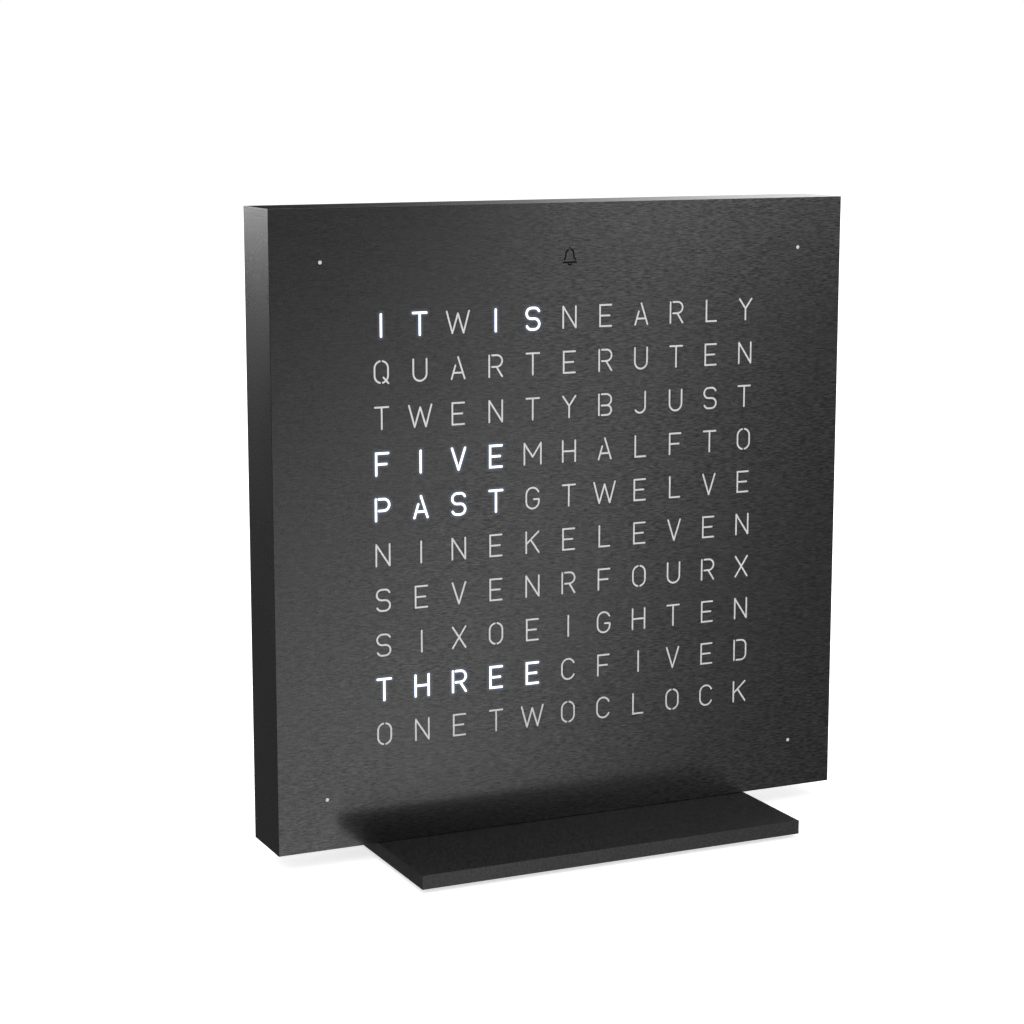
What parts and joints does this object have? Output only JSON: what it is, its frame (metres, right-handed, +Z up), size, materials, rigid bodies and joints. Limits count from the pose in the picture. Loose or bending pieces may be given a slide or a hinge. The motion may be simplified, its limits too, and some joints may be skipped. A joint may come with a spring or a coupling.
{
  "type": "word clock",
  "caption": "Square desk word clock on an L-shaped plate stand; its magnetic front cover pulls off, and sprung buttons at the back set the time.",
  "frame": {"origin": "on the ground, in the middle of the object's width and depth", "axes": "+X to the right as seen from the front, +Y from the face to the back, +Z up"},
  "size_m": [0.135, 0.042, 0.1391],
  "materials": {
    "cover_metal": "black, brushed sideways on the face and blasted on the sides",
    "stand_paint": "satin black powder coat",
    "housing_plastic": "black moulded plastic with a fine spark texture",
    "button_plastic": "smooth dark grey moulded plastic",
    "plunger_plastic": "natural moulded plastic",
    "grid_plastic": "white moulded plastic",
    "opal_plastic": "opal diffusing sheet",
    "lit_letters": "opal letters with the lamps behind them on",
    "board_lacquer": "green solder lacquer over glass fibre",
    "lamp_body": "white lamp with yellow phosphor",
    "chip_epoxy": "black moulded epoxy",
    "tantalum_case": "ochre moulded epoxy",
    "plated_steel": "bright nickel plate",
    "inlet_plastic": "black moulded plastic",
    "holder_plastic": "natural moulded plastic",
    "screw_black": "black oxide on steel",
    "brass": "turned brass",
    "pad_rubber": "dull black silicone"
  },
  "bodies": {
    "case": {"rear_housing": "housing_plastic", "light_grid": "grid_plastic", "opal_sheet": "opal_plastic", "led_board": "board_lacquer", "leds": "lamp_body", "led_drivers": "chip_epoxy", "controller_chip": "chip_epoxy", "time_chip": "chip_epoxy", "clock_crystal": "plated_steel", "cell_holder": "holder_plastic", "backup_cell": "plated_steel", "sounder": "inlet_plastic", "power_jack": "inlet_plastic", "jack_pin": "brass", "voltage_regulator": "chip_epoxy", "smoothing_capacitors": "tantalum_case", "tact_switches": "chip_epoxy", "board_screws": "plated_steel", "housing_magnets": "plated_steel", "stand_inserts": "brass", "stand": "stand_paint", "stand_screws": "screw_black", "foot_pads": "pad_rubber"},
    "cover": {"front_cover": "cover_metal", "cover_discs": "plated_steel"},
    "set_key": {"set_button": "button_plastic", "set_plunger": "plunger_plastic"},
    "plus_key": {"plus_button": "button_plastic", "plus_plunger": "plunger_plastic"},
    "minus_key": {"minus_button": "button_plastic", "minus_plunger": "plunger_plastic"}
  },
  "joints": [
    {"name": "cover_slide", "type": "slide", "parent": "case", "child": "cover", "axis": [0, -1, 0], "range_m": [0, 0.018]},
    {"name": "set_press", "type": "slide", "parent": "case", "child": "set_key", "axis": [0, -1, 0], "range_m": [0, 0.0005], "stiffness_N_per_m": 2500},
    {"name": "plus_press", "type": "slide", "parent": "case", "child": "plus_key", "axis": [0, -1, 0], "range_m": [0, 0.0005], "stiffness_N_per_m": 2500},
    {"name": "minus_press", "type": "slide", "parent": "case", "child": "minus_key", "axis": [0, -1, 0], "range_m": [0, 0.0005], "stiffness_N_per_m": 2500}
  ]
}
